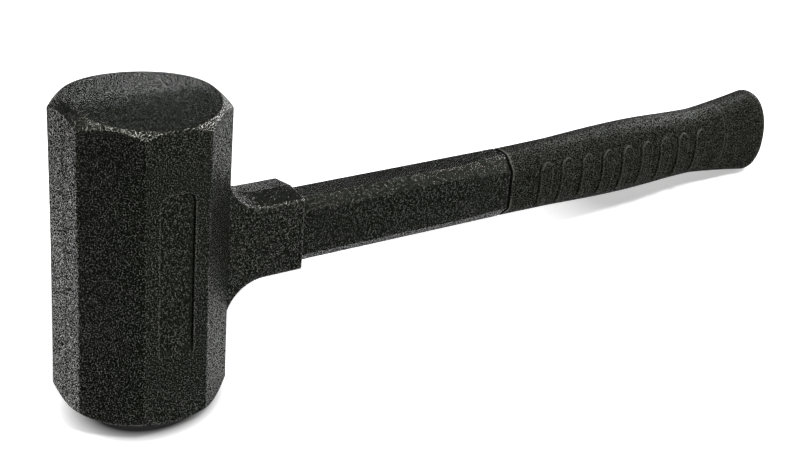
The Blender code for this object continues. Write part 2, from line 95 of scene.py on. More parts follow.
HEAD_EDGE_ROUND = 0.0016     # rounding of the octagon's eight edges
HEAD_SPARE = 0.00025         # the head's side beyond the CAD's, half way up
HEAD_FLARE = 0.00037         # and further out at its two ends
EDGE_WIDTH = 0.0043          # turned edge of a striking face, across to the octagon's corners
EDGE_DROP = 0.0040           # and down to them
EDGE_SOFTENING = 0.0008      # rounding of the turned edge's own two corners
PANEL_HALF_WIDTH = 0.00775
PANEL_HALF_HEIGHT = 0.0385
PANEL_LIFT = 0.0013          # the panel's middle above the head's middle
PANEL_CORNER = 0.0040
PANEL_DEPTH = 0.0014
PANEL_SLOPE = 0.0004         # width of the panel's sloping wall
PANEL_RAMP = 0.0060          # length of the ramp up from its floor at the lower end
FACE_CROWN = 0.0015          # the upper face's ridge above the CAD's flat face
FACE_DRAFT = math.radians(5.0)
LOWER_DRAFT = math.radians(1.2)
CREST_ROUND = 0.0080         # half-width of the ridge's rounding
SEAM_RISE = 0.00012          # mould parting line
SEAM_HALF_WIDTH = 0.00045

NECK_FILLET = 0.0200
NECK_CROWN = 0.0019          # rise from the neck's sides to its middle, top and bottom
NECK_LIFT = 0.0009           # the collar's middle above the handle's axis
NECK_EDGE_ROUND = 0.0012
COLLAR_REACH = 0.0004        # the collar's end beyond the CAD's
COLLAR_SIDE = 0.00315        # collar beyond the shaft at each side
COLLAR_TOP = 0.0018          # collar beyond the shaft above and below
COLLAR_END_ROUND = 0.0008

SHAFT_BEVEL_WIDTH = 0.0047
SHAFT_BEVEL_DEPTH = 0.0051
SHAFT_BLEND = 0.0300         # length over which the bevels grow towards the grip
SHAFT_BEVEL_GROWTH = 1.35
SHAFT_FLARE = 0.0006         # growth of the whole section towards the grip
SHAFT_SPARE = 0.0004         # depth beyond the CAD's
SHAFT_DROP = 0.0002          # the shaft's middle below the handle's axis
SHAFT_EDGE_ROUND = 0.0006
JOINT_ROUND = 0.0008         # rounding of the ends where two sleeves meet
SPIGOT_RADIUS = 0.0083       # round end that plugs into the grip
SPIGOT_LENGTH = 0.0120

GRIP_ASPECT = 0.690          # width over height of the oval
GRIP_STEP = 0.0016           # start of the oval beyond the shaft
GRIP_LIFT = 0.0009           # the grip's tail above the handle's axis
BELLY_PLACE = 0.0830         # from the grip's start
BELLY_HALF = 0.0195
WAIST_PLACE = 0.0165         # from the grip's end
WAIST_HALF = 0.01825
RIM_SPARE = 0.0004           # the butt's rim beyond the CAD's
RIM_ROUND = 0.0045
FLARE_POWER = 1.25
SHAPE_START = 2.9            # superellipse power at the shaft, which is nearly square
SHAPE_GRIP = 2.15            # superellipse power in the hand
SHAPE_BLEND = 0.0350
FLUSH_POWER = 26.0           # sharpness of the bevel edges where the grip starts
FLUSH_STEP = 0.0003          # start of the grip beyond the shaft's bevels

RIB_COUNT = 9
RIB_LEAD = 0.0183            # from the grip's start to the first rib
RIB_TAIL = 0.0138            # from the last rib to the grip's end
RIB_WIDTH = 0.0084
RIB_TOP = 0.0112             # reach above the handle's axis
RIB_BOTTOM = 0.0135          # and below it
RIB_RUNOUT = 0.0025          # height over which the lower end runs out
RIB_RISE = 0.0013
RIB_STEP = 0.0006            # width of the step up to the rib
RIB_MARGIN = 0.0020          # run before the step that belongs to the rib
RIB_GROOVE = 0.0008          # depth of the crease at the step's foot
RIB_CREASE = 0.0003          # half-width of the crease
RIB_BEAD = 0.00035           # bead along the rib's upper edge
RIB_BEAD_WIDTH = 0.0005
BEAD_FULL = 0.2              # half turns round the rib's upper end, from its head side, to the full bead,
CREASE_FULL = 0.05           # to where the crease starts to fade
CREASE_GONE = 0.5            # and to where it ends

# Rows and columns of the meshes: distances in metres, shares of a run, and counts

PANEL_GRID = 0.0002          # across the panel's walls
PANEL_ROW = 0.0015           # from a panel's wall to the row beyond it
FACET_COLUMN = 0.0012        # from a panel's wall to the column beside it
FACET_GRID = 0.0014          # beside the panel
FACET_REACH = 0.0135         # last column beside it, short of the octagon's rounded edge
HANDLE_FACET = 0             # the eight facets are counted round from the handle's side
PANEL_FACETS = (2, 6)
FAR_FACET = 4                # across from the handle
FACET_SHARES = (0.2, 0.4, 0.6, 0.8, 0.93, 0.985)
SEAM_COLUMNS = (
    0.00022, 0.00045, 0.0007, 0.0011, 0.0016, 0.0022, 0.003, 0.004, 0.0055, 0.0075, 0.01, 0.0125,
)
WALL_GRID = 0.0040           # up the head's wall
EDGE_ROW = 0.0006            # beside a turned edge and the collar's rounded end
FACE_SHARES = (0.06, 0.12, 0.2, 0.3, 0.45, 0.6, 0.75, 0.9, 0.96)
INNER_SHARE = 0.9            # a place on a striking face, inside its rim
NECK_SIDE_SHARES = (0.0, 0.35, 0.7, 0.9)
NECK_ROOF_SHARES = (0.88, 0.6, 0.3, 0.09, 0.06, 0.03)
COLLAR_GRID = 0.0050
SHAFT_SIDE_SHARES = (0.0, 0.5, 0.9)
SHAFT_TOP_SHARES = (0.85, 0.0)
SHAFT_GRID = 0.0080
BLEND_GRID = 0.0025          # where the bevels grow
SHAFT_ROW = 0.0005           # beside the shaft's rounded end
JOINT_ROW = 0.0004           # beside the rounded ends of the grip and the butt
GRIP_GRID = 0.0018           # between two ribs
GRIP_ROW = 0.0012            # from close rows to the next ones
TAIL_ROW = 0.0010            # from the last rib to the next row
STEP_LEAD = 0.0014           # close rows before a rib's step
STEP_TAIL = 0.0008           # and after it
STEP_GRID = 0.00016
RIB_GRID = 0.0005            # along a rib's back
BUTT_GRID = 0.0012
OVAL_COLUMNS = 320
CORNER_STEPS = 5
SOFTENING_STEPS = 4
RIM_PASSES = 6               # rounds in which the rim's reach settles
FILLET_STEPS = 24
COLLAR_STEPS = 5
JOINT_STEPS = 4
RIM_STEPS = 8
CANISTER_STEPS = 96
BORE_STEPS = 48

octagon_turn = math.pi / 8
head_corner = head_half / math.cos(octagon_turn)
face_radius = head_corner - EDGE_WIDTH
panel_centre = head_height / 2 + PANEL_LIFT
neck_half_width = shaft_half_width + COLLAR_SIDE
neck_half_depth = shaft_half_depth + COLLAR_TOP
shaft_end = grip_start - GAP
grip_length = grip_end - grip_start
grip_start_half = shaft_half_depth + GRIP_STEP
belly = grip_start + BELLY_PLACE
waist = grip_end - WAIST_PLACE
rim_half = cad_rim_half + RIM_SPARE
butt_rim = butt_end - RIM_ROUND
rib_pitch = (grip_length - RIB_LEAD - RIB_TAIL - RIB_WIDTH) / (RIB_COUNT - 1)


def smooth_step(low, high, value):
    share = min(max((value - low) / (high - low), 0.0), 1.0)
    return share * share * (3.0 - 2.0 * share)


def ease(low, high, share):
    share = min(max(share, 0.0), 1.0)
    return low + (high - low) * (1.0 - math.cos(math.pi * share)) / 2


def mirrored(half):
    """A list of positive places, with their negatives in front and zero between."""
    return [-place for place in reversed(half)] + [0.0] + list(half)


def stepped(start, end, step):
    """Even places from start up to end, with both ends, about a step apart."""
    count = max(1, round((end - start) / step))
    return [start + (end - start) * index / count for index in range(count + 1)]


def quarter_turn(steps):
    """Even angles from nothing to a right angle, with both ends."""
    return [index / steps * math.pi / 2 for index in range(steps + 1)]


def whole_outline(quarter):
    """A quarter of a section's outline, from its side to its crest, mirrored both ways."""
    half = quarter + [Vector((-point.x, point.y)) for point in quarter[-2::-1]]
    return half + [Vector((point.x, -point.y)) for point in half[-2:0:-1]]


def skin(name, rows):
    """A closed skin through rings of equal counts. A ring of one point closes that end to a tip."""
    mesh = bpy.data.meshes.new(name)
    build = bmesh.new()
    rings = [[build.verts.new(point) for point in row] for row in rows]
    for near, far in zip(rings, rings[1:]):
        count = max(len(near), len(far))
        for index in range(count):
            after = (index + 1) % count
            corners = [near[index % len(near)], near[after % len(near)]]
            corners += [far[after % len(far)], far[index % len(far)]]
            build.faces.new(list(dict.fromkeys(corners)))
    for end, ring in ((0, rings[0]), (-1, rings[-1])):
        if len(ring) > 1:
            build.faces.new(ring if end else ring[::-1])
    bmesh.ops.recalc_face_normals(build, faces=build.faces)
    build.to_mesh(mesh)
    build.free()
    piece = bpy.data.objects.new(name, mesh)
    bpy.context.scene.collection.objects.link(piece)
    return piece


def carve(piece, tool, operation):
    """Joins or cuts a piece with a tool that is then thrown away."""
    boolean = piece.modifiers.new(operation.lower(), "BOOLEAN")
    boolean.operation = operation
    boolean.solver = "EXACT"
    boolean.object = tool
    bpy.context.view_layer.update()
    state = bpy.context.evaluated_depsgraph_get()
    done = bpy.data.meshes.new_from_object(piece.evaluated_get(state), depsgraph=state)
    piece.modifiers.clear()
    old = piece.data
    piece.data = done
    bpy.data.meshes.remove(old)
    bpy.data.objects.remove(tool, do_unlink=True)


def cylinder(name, radius, start, end, steps, along_handle=False):
    """A plain cylinder on the head's axis or on the handle's."""
    turned = []
    for station in (start, end):
        ring = []
        for index in range(steps):
            angle = index / steps * math.tau
            across, rise = radius * math.cos(angle), radius * math.sin(angle)
            if along_handle:
                ring.append(Vector((station, across, handle_height + rise)))
            else:
                ring.append(Vector((across, rise, station)))
        turned.append(ring)
    return skin(name, turned)


def finish_piece(piece, node, material, sharp_degrees, inlay=None, inlaid=None):
    """Puts a finished piece into the frame, in place of its CAD node.

    The inlay is a second material, for the faces whose middles the function inlaid picks out.
    """
    piece.data.materials.clear()
    piece.data.materials.append(material)
    if inlay:
        piece.data.materials.append(inlay)
        for face in piece.data.polygons:
            face.material_index = int(inlaid(face.center))
    piece.data.transform(hammer)
    piece.data.shade_smooth()
    piece.data.set_sharp_from_angle(angle=math.radians(sharp_degrees))
    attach(piece, "hammer")
    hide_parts(node)


# Head: an octagon with rounded edges, given row by row from one face to the other.


def rounded_corner(before, corner, after, radius, steps):
    """Points of a round tangent to the two straight runs that meet at a corner of an outline."""
    into = (before - corner).normalized()
    out = (after - corner).normalized()
    half = into.angle(out) / 2
    reach = radius / math.tan(half)
    centre = corner + (into + out).normalized() * radius / math.sin(half)
    first = corner + into * reach - centre
    last = corner + out * reach - centre
    sweep = first.angle(last)
    points = []
    for index in range(steps + 1):
        share = index / steps
        weight_first = math.sin((1.0 - share) * sweep) / math.sin(sweep)
        weight_last = math.sin(share * sweep) / math.sin(sweep)
        points.append(centre + first * weight_first + last * weight_last)
    return points


def panel_columns():
    """Columns on a facet with a panel, from its middle out: close together across the panel's walls."""
    inner = PANEL_HALF_WIDTH - (PANEL_CORNER + PANEL_SLOPE)
    outer = PANEL_HALF_WIDTH + PANEL_SLOPE
    columns = [inner / 2]
    columns += stepped(inner, outer, PANEL_GRID)
    columns += stepped(outer + FACET_COLUMN, FACET_REACH, FACET_GRID)
    return columns


def head_columns():
    """The octagon's outline as (place, facet) pairs, with a round at each corner that is on no facet."""
    facet_half = head_half * math.tan(octagon_turn)
    flat_half = facet_half - HEAD_EDGE_ROUND * math.tan(octagon_turn)
    plain = [flat_half * share for share in FACET_SHARES]
    columns = []
    for facet in range(8):
        angle = facet * math.pi / 4
        normal = Vector((math.cos(angle), math.sin(angle)))
        tangent = Vector((-math.sin(angle), math.cos(angle)))
        places = plain
        if facet in PANEL_FACETS:
            places = panel_columns()
        elif facet in (HANDLE_FACET, FAR_FACET):
            places = SEAM_COLUMNS
        for place in mirrored(places):
            columns.append((normal * head_half + tangent * place, facet))
        far_angle = angle + math.pi / 4
        before = normal * head_half
        corner = before + tangent * facet_half
        after = Vector((math.cos(far_angle), math.sin(far_angle))) * head_half
        for point in rounded_corner(before, corner, after, HEAD_EDGE_ROUND, CORNER_STEPS):
            columns.append((point, None))
    return columns


def panel_sink(across, height):
    """Depth of the sunk panel at a place on its facet."""
    over = Vector((
        max(abs(across) - PANEL_HALF_WIDTH + PANEL_CORNER, 0.0),
        max(abs(height - panel_centre) - PANEL_HALF_HEIGHT + PANEL_CORNER, 0.0),
    ))
    outside = over.length - PANEL_CORNER
    if over.length == 0.0:
        outside = -PANEL_CORNER
    ramp = smooth_step(-PANEL_HALF_HEIGHT, PANEL_RAMP - PANEL_HALF_HEIGHT, height - panel_centre)
    return PANEL_DEPTH * ramp * smooth_step(PANEL_SLOPE / 2, -PANEL_SLOPE / 2, outside)


def on_panel(spot):
    """Whether a place on the head's skin lies on the floor of one of the two panels."""
    floor = head_half + HEAD_SPARE - PANEL_DEPTH
    inside = abs(spot.x) < PANEL_HALF_WIDTH and abs(spot.z - panel_centre) < PANEL_HALF_HEIGHT
    return inside and abs(abs(spot.y) - floor) < PANEL_DEPTH / 3


def seam_rise(across):
    """Height of the parting line at a distance from its middle."""
    return SEAM_RISE * math.exp(-((across / SEAM_HALF_WIDTH) ** 2))


def head_heights():
    """Heights of the rows up the head's wall: close together where a panel starts and ends."""
    margin = EDGE_DROP + EDGE_SOFTENING
    fine = PANEL_CORNER + PANEL_SLOPE
    heights = []
    for middle, near, far in (
        (panel_centre - PANEL_HALF_HEIGHT, PANEL_SLOPE, max(fine, PANEL_RAMP)),
        (panel_centre + PANEL_HALF_HEIGHT, fine, PANEL_SLOPE),
    ):
        low, high = middle - near, middle + far
        start = heights[-1] + 2 * PANEL_ROW if heights else margin + EDGE_ROW
        heights += stepped(start, low - PANEL_ROW, WALL_GRID) + stepped(low, high, PANEL_GRID)
    top = head_height - margin
    return [margin, *heights, *stepped(heights[-1] + PANEL_ROW, top - EDGE_ROW, WALL_GRID), top]


def face_fall(across, crown, draft):
    """How far a striking face lies inside the CAD's flat one, at a distance from its ridge."""
    return (math.hypot(across, CREST_ROUND) - CREST_ROUND) * math.tan(draft) - crown


def head_profile(outward, radius, crown, draft):
    """Half a profile, as (radius, depth) points from a face's centre out to the head's side.

    The face falls away at its draft on both sides of a ridge, and the edge round it is turned.
    """
    slope = EDGE_DROP / EDGE_WIDTH
    rim_reach = face_radius
    for _ in range(RIM_PASSES):
        rim_reach = face_radius + face_fall(rim_reach * outward.y, crown, draft) / slope
    rim = Vector((rim_reach, face_fall(rim_reach * outward.y, crown, draft)))
    shoulder = Vector((radius, (radius - face_radius) * slope))
    wall = Vector((radius, head_height / 2))
    inner_reach = rim_reach * INNER_SHARE
    inner = Vector((inner_reach, face_fall(inner_reach * outward.y, crown, draft)))
    edge = rounded_corner(inner, rim, shoulder, EDGE_SOFTENING, SOFTENING_STEPS)
    edge += rounded_corner(rim, shoulder, wall, EDGE_SOFTENING, SOFTENING_STEPS)
    face = []
    for share in FACE_SHARES:
        reach = rim_reach * share
        face.append(Vector((reach, face_fall(reach * outward.y, crown, draft))))
    return face + edge


def widened(spot):
    """A point of the head's skin, moved out: the head is a little wider at both ends."""
    place = spot.z / head_height * 2.0 - 1.0
    spread = 1.0 + (HEAD_SPARE + HEAD_FLARE * place * place) / head_half
    return Vector((spot.x * spread, spot.y * spread, spot.z))


def head_rows():
    columns = head_columns()
    heights = head_heights()
    sides = []
    for place, facet in columns:
        radius = place.length
        outward = Vector((*(place / radius), 0.0))
        lower = []
        upper = []
        for reach, depth in head_profile(outward, radius, 0.0, LOWER_DRAFT):
            lower.append(outward * reach + Vector((0.0, 0.0, depth)))
        for reach, depth in head_profile(outward, radius, FACE_CROWN, FACE_DRAFT):
            upper.append(outward * reach + Vector((0.0, 0.0, head_height - depth)))
        walls = []
        for height in heights:
            spot = outward * radius + Vector((0.0, 0.0, height))
            if facet in PANEL_FACETS:
                spot.y -= math.copysign(panel_sink(spot.x, height), spot.y)
            if facet == FAR_FACET:
                spot.x -= seam_rise(spot.y)
            walls.append(spot)
        sides.append(lower + walls + upper[::-1])
    rows = [[widened(spot) for spot in row] for row in zip(*sides)]
    crest = head_height + FACE_CROWN
    return [[Vector((0.0, 0.0, 0.0))], *rows, [Vector((0.0, 0.0, crest))]]


def neck_ring(station, half_depth, inset=0.0):
    """The collar's section: upright sides, rounded edges and a low roof with the parting line on it."""
    half_width = neck_half_width - inset
    depth = half_depth - inset
    ridge = Vector((0.0, depth + NECK_CROWN))
    edge = Vector((half_width, depth))
    foot = Vector((half_width, 0.0))
    quarter = [foot + (edge - foot) * share for share in NECK_SIDE_SHARES]
    quarter += rounded_corner(foot, edge, ridge, NECK_EDGE_ROUND, CORNER_STEPS)
    for place in NECK_ROOF_SHARES:
        roof = edge + (ridge - edge) * (1.0 - place)
        quarter.append(roof + Vector((0.0, seam_rise(roof.x))))
    quarter.append(ridge + Vector((0.0, seam_rise(0.0))))
    middle = handle_height + NECK_LIFT
    return [Vector((station, point.x, middle + point.y)) for point in whole_outline(quarter)]


def make_neck():
    rows = [neck_ring(canister_radius + GAP, neck_half_depth + NECK_FILLET)]
    fillet_start = head_half - GAP
    for angle in quarter_turn(FILLET_STEPS):
        station = fillet_start + NECK_FILLET * (1.0 - math.cos(angle))
        rows.append(neck_ring(station, neck_half_depth + NECK_FILLET * (1.0 - math.sin(angle))))
    straight_start = rows[-1][0].x
    straight_end = collar_end + COLLAR_REACH - COLLAR_END_ROUND
    for station in stepped(straight_start, straight_end - EDGE_ROW, COLLAR_GRID)[1:] + [straight_end]:
        rows.append(neck_ring(station, neck_half_depth))
    for angle in quarter_turn(COLLAR_STEPS)[1:]:
        station = straight_end + COLLAR_END_ROUND * math.sin(angle)
        rows.append(neck_ring(station, neck_half_depth, COLLAR_END_ROUND * (1.0 - math.cos(angle))))
    return skin("neck", rows)


# Shaft: a bevelled bar.


def axis_lift(station):
    """How far the sleeves' middle lies above the handle's axis: the grip's tail turns up slightly."""
    return ease(-SHAFT_DROP, GRIP_LIFT, (station - grip_start) / (waist - grip_start))


def shaft_ring(station, grow=0.0):
    """The shaft's section: bevels at its four corners, which widen towards the grip."""
    share = (station - grip_start + SHAFT_BLEND) / SHAFT_BLEND
    growth = ease(1.0, SHAFT_BEVEL_GROWTH, share)
    grow += ease(0.0, SHAFT_FLARE, share)
    half_width = shaft_half_width + grow
    half_depth = shaft_half_depth + SHAFT_SPARE + grow
    low_corner = Vector((half_width, half_depth - SHAFT_BEVEL_DEPTH * growth))
    high_corner = Vector((half_width - SHAFT_BEVEL_WIDTH * growth, half_depth))
    foot = Vector((half_width, 0.0))
    crest = Vector((0.0, half_depth))
    quarter = [foot + (low_corner - foot) * part for part in SHAFT_SIDE_SHARES]
    quarter += rounded_corner(foot, low_corner, high_corner, SHAFT_EDGE_ROUND, CORNER_STEPS)
    quarter += rounded_corner(low_corner, high_corner, crest, SHAFT_EDGE_ROUND, CORNER_STEPS)
    quarter += [crest + (high_corner - crest) * part for part in SHAFT_TOP_SHARES]
    middle = handle_height + axis_lift(station)
    return [Vector((station, point.x, middle + point.y)) for point in whole_outline(quarter)]


def make_shaft():
    blend_start = grip_start - SHAFT_BLEND
    round_start = shaft_end - JOINT_ROUND
    stations = stepped(shaft_start, blend_start, SHAFT_GRID)
    stations += stepped(blend_start, round_start - SHAFT_ROW, BLEND_GRID)[1:]
    rows = [shaft_ring(station) for station in [*stations, round_start]]
    for angle in quarter_turn(JOINT_STEPS)[1:]:
        station = round_start + JOINT_ROUND * math.sin(angle)
        rows.append(shaft_ring(station, JOINT_ROUND * (math.cos(angle) - 1.0)))
    piece = skin("shaft", rows)
    inside, outside = shaft_end - SPIGOT_LENGTH, shaft_end + SPIGOT_LENGTH
    carve(piece, cylinder("spigot", SPIGOT_RADIUS, inside, outside, BORE_STEPS, True), "UNION")
    return piece


# Grip and butt: one run of ovals, with raised ribs along both sides of the grip.


def grip_half(station):
    """Half the height of the grip or the butt: a swell in the hand, a waist and a flare."""
    if station < belly:
        return ease(grip_start_half, BELLY_HALF, (station - grip_start) / (belly - grip_start))
    if station < waist:
        return ease(BELLY_HALF, WAIST_HALF, (station - belly) / (waist - belly))
    share = min((station - waist) / (butt_rim - waist), 1.0)
    return WAIST_HALF + (rim_half - WAIST_HALF) * share ** FLARE_POWER


def rib_rise(station, height):
    """How far the ribs stand proud at a station, a given height above or below the handle's axis.

    A rib steps up from a crease at its head end, has a round upper end and runs out elsewhere.
    """
    rib = math.floor((station - grip_start - RIB_LEAD + RIB_MARGIN) / rib_pitch)
    if not 0 <= rib < RIB_COUNT:
        return 0.0
    place = station - grip_start - RIB_LEAD - rib * rib_pitch
    crest = RIB_RISE * smooth_step(RIB_WIDTH, 0.0, place)
    round_radius = RIB_WIDTH / 2
    over = max(height - RIB_TOP + round_radius, 0.0)
    outside = math.hypot(place - round_radius, over) - round_radius
    turn = math.atan2(over, round_radius - place) / math.pi
    rise = crest * smooth_step(RIB_STEP / 2, -RIB_STEP / 2, outside)
    bead = RIB_BEAD * math.exp(-(((outside + RIB_STEP) / RIB_BEAD_WIDTH) ** 2))
    crease = RIB_GROOVE * math.exp(-(((outside - RIB_STEP / 2) / RIB_CREASE) ** 2))
    bead *= smooth_step(0.0, BEAD_FULL, turn)
    crease *= smooth_step(CREASE_GONE, CREASE_FULL, turn)
    return smooth_step(-RIB_BOTTOM, -RIB_BOTTOM + RIB_RUNOUT, height) * (rise + bead - crease)


def shaft_reach(direction):
    """How far the shaft's section reaches from its axis at its end, in a direction across it."""
    bevel = Vector((SHAFT_BEVEL_DEPTH, SHAFT_BEVEL_WIDTH)).normalized()
    half_width = shaft_half_width + SHAFT_FLARE
    half_depth = shaft_half_depth + SHAFT_SPARE + SHAFT_FLARE
    corner = Vector((half_width, half_depth - SHAFT_BEVEL_DEPTH * SHAFT_BEVEL_GROWTH))
    across = abs(direction.x) / half_width
    upward = abs(direction.y) / half_depth
    slanted = (abs(direction.x) * bevel.x + abs(direction.y) * bevel.y) / bevel.dot(corner)
    powers = across ** FLUSH_POWER + upward ** FLUSH_POWER + slanted ** FLUSH_POWER
    return powers ** (-1.0 / FLUSH_POWER)


def oval_ring(station, half_height, grow=0.0, ribbed=False):
    """A section of the grip or butt: flush with the shaft at the grip's start, an oval further on."""
    share = (station - grip_start) / SHAPE_BLEND
    power = ease(SHAPE_START, SHAPE_GRIP, share)
    flush = ease(1.0, 0.0, share)
    half_depth = half_height + grow
    half_width = half_height * GRIP_ASPECT + grow
    ring = []
    for index in range(OVAL_COLUMNS):
        angle = (index + 0.5) * math.tau / OVAL_COLUMNS
        cosine, sine = math.cos(angle), math.sin(angle)
        y = math.copysign(abs(cosine) ** (2 / power), cosine)
        z = math.copysign(abs(sine) ** (2 / power), sine)
        spot = Vector((y * half_width, z * half_depth))
        direction = spot.normalized()
        spot = spot.lerp(direction * (shaft_reach(direction) + FLUSH_STEP + grow), flush)
        if ribbed:
            lean = Vector((math.copysign(abs(y) ** (power - 1.0), y) / half_width, 0.0))
            lean.y = math.copysign(abs(z) ** (power - 1.0), z) / half_depth
            spot += lean.normalized() * rib_rise(station, spot.y)
        ring.append(Vector((station, spot.x, handle_height + axis_lift(station) + spot.y)))
    return ring


def rounded_end(start, inward, half_height):
    """Rings that round an end of a sleeve over: inward is 1 at its head end and -1 at its butt end."""
    rings = []
    for angle in quarter_turn(JOINT_STEPS)[:-1]:
        station = start + inward * JOINT_ROUND * (1.0 - math.sin(angle))
        rings.append(oval_ring(station, half_height, JOINT_ROUND * (math.cos(angle) - 1.0)))
    return rings[::-1]


def on_joint(spot):
    """Whether a place on the grip's skin lies in the joint where the grip starts, which is painted darker
    and duller: painted shade in the groove.
    """
    return spot.x < grip_start + JOINT_ROUND


def make_grip():
    first, last = grip_start + JOINT_ROUND, grip_end - JOINT_ROUND
    stations = [first, first + JOINT_ROW]
    for rib in range(RIB_COUNT):
        start = grip_start + RIB_LEAD + rib * rib_pitch
        stations += stepped(stations[-1] + GRIP_ROW, start - GRIP_GRID, GRIP_GRID)
        stations += stepped(start - STEP_LEAD, start + STEP_TAIL, STEP_GRID)
        stations += stepped(start + GRIP_ROW, start + RIB_WIDTH, RIB_GRID)
    stations += stepped(stations[-1] + TAIL_ROW, last - JOINT_ROW, GRIP_GRID) + [last]
    rows = rounded_end(grip_start, 1, grip_half(grip_start))
    rows += [oval_ring(station, grip_half(station), ribbed=True) for station in stations]
    rows += rounded_end(grip_end, -1, grip_half(grip_end))[::-1]
    piece = skin("grip", rows)
    bore = cylinder("bore", rod_radius + GAP, shaft_start, butt_end, BORE_STEPS, True)
    carve(piece, bore, "DIFFERENCE")
    return piece


def make_butt():
    start = grip_end + GAP
    rows = rounded_end(start, 1, grip_half(start))
    straight = start + JOINT_ROUND
    stations = [straight, *stepped(straight + JOINT_ROW, butt_rim, BUTT_GRID)]
    rows += [oval_ring(station, grip_half(station)) for station in stations]
    for angle in quarter_turn(RIM_STEPS)[1:]:
        station = butt_rim + RIM_ROUND * math.sin(angle)
        rows.append(oval_ring(station, rim_half, RIM_ROUND * (math.cos(angle) - 1.0)))
    return skin("butt", rows)


def make_head():
    """The head with its neck and collar, and its cavities for the canister, socket, shaft and rod."""
    piece = skin("head", head_rows())
    carve(piece, make_neck(), "UNION")
    bottom, top = canister_bottom - GAP, canister_top + GAP
    inside = canister_radius / 2
    mouth = collar_end + 3 * COLLAR_REACH
    for cavity in (
        cylinder("canister", canister_radius + GAP, bottom, top, CANISTER_STEPS),
        cylinder("socket", socket_radius + GAP, inside, socket_end + GAP, BORE_STEPS, True),
        skin("opening", [shaft_ring(shaft_start - GAP, GAP), shaft_ring(mouth, GAP)]),
        cylinder("bore", rod_radius + GAP, inside, shaft_end, BORE_STEPS, True),
    ):
        carve(piece, cavity, "DIFFERENCE")
    return piece


# Materials: the mould grain is a noise whose values lie about a half.

GRAIN_DETAIL = 1.5
GRAIN_ROUGHNESS = 0.6
TINT_RANGE = (0.45, 0.70)    # noise from the darkest pits to the lightest tops
SHEEN_RANGE = (0.53, 0.64)   # noise from no shine to the full shine
BEND_RANGE = (0.505, 0.545)  # Pointiness from a flat place to an edge with the full painted highlight
URETHANE_IOR = 1.45
SHEEN_TINT = (1.0, 1.0, 0.88, 1.0)


def new_material(name):
    material = bpy.data.materials.new(name)
    material.use_nodes = True
    return material, material.node_tree, material.node_tree.nodes["Principled BSDF"]


def add_node(tree, kind, **inputs):
    """A new node with values for its inputs, whose names have underscores for spaces."""
    node = tree.nodes.new(kind)
    for name, value in inputs.items():
        node.inputs[name.replace("_", " ")].default_value = value
    return node


def urethane(name, dark, light, grain, depth, roughness, shine, edge_shine_and_highlight):
    """Black cast urethane with a mould grain of about the given size: shiny tops, dull pits, and convex
    edges painted lighter and shinier as a painted highlight.
    """
    material, tree, shader = new_material(name)
    place = tree.nodes.new("ShaderNodeTexCoord").outputs["Object"]
    wrinkles = add_node(
        tree, "ShaderNodeTexNoise", Scale=1.0 / grain, Detail=GRAIN_DETAIL, Roughness=GRAIN_ROUGHNESS
    )
    bump = add_node(tree, "ShaderNodeBump", Strength=1.0, Distance=depth)
    # Convex edges, found by Pointiness, get a lighter colour and more shine: a painted highlight along
    # the edges
    bend = tree.nodes.new("ShaderNodeNewGeometry").outputs["Pointiness"]
    flat, highlit_edge = BEND_RANGE
    edges = add_node(tree, "ShaderNodeMapRange", From_Min=flat, From_Max=highlit_edge, To_Max=edge_shine_and_highlight)
    grain_and_edge_highlight = tree.nodes.new("ShaderNodeMath")
    tint = tree.nodes.new("ShaderNodeValToRGB")
    for stop, position, colour in zip(tint.color_ramp.elements, TINT_RANGE, (dark, light)):
        stop.position = position
        stop.color = (*colour, 1.0)
    dull, bright = SHEEN_RANGE
    sheen = add_node(tree, "ShaderNodeMapRange", From_Min=dull, From_Max=bright, To_Max=shine)
    link = tree.links.new
    link(place, wrinkles.inputs["Vector"])
    link(wrinkles.outputs["Fac"], bump.inputs["Height"])
    link(bump.outputs["Normal"], shader.inputs["Normal"])
    link(bend, edges.inputs["Value"])
    link(wrinkles.outputs["Fac"], grain_and_edge_highlight.inputs[0])
    link(edges.outputs["Result"], grain_and_edge_highlight.inputs[1])
    link(grain_and_edge_highlight.outputs["Value"], tint.inputs["Fac"])
    link(tint.outputs["Color"], shader.inputs["Base Color"])
    link(grain_and_edge_highlight.outputs["Value"], sheen.inputs["Value"])
    link(sheen.outputs["Result"], shader.inputs["Specular IOR Level"])
    shader.inputs["Roughness"].default_value = roughness
    shader.inputs["IOR"].default_value = URETHANE_IOR
    shader.inputs["Specular Tint"].default_value = SHEEN_TINT
    return material


def steel(name, colour, low, high, stretch):
    """Bare steel with fine drawn streaks, whose roughness runs from low to high.

    The stretch is the streaks' scale along x, y and z.
    """
    material, tree, shader = new_material(name)
    place = tree.nodes.new("ShaderNodeTexCoord").outputs["Object"]
    mapping = add_node(tree, "ShaderNodeMapping", Scale=stretch)
    streaks = add_node(tree, "ShaderNodeTexNoise", Scale=1.0, Detail=4.0, Roughness=0.6)
    gloss = add_node(tree, "ShaderNodeMapRange", To_Min=low, To_Max=high)
    bump = add_node(tree, "ShaderNodeBump", Strength=0.15, Distance=0.0001)
    shader.inputs["Base Color"].default_value = (*colour, 1.0)
    shader.inputs["Metallic"].default_value = 1.0
    link = tree.links.new
    link(place, mapping.inputs["Vector"])
    link(mapping.outputs["Vector"], streaks.inputs["Vector"])
    link(streaks.outputs["Fac"], gloss.inputs["Value"])
    link(gloss.outputs["Result"], shader.inputs["Roughness"])
    link(streaks.outputs["Fac"], bump.inputs["Height"])
    link(bump.outputs["Normal"], shader.inputs["Normal"])
    return material


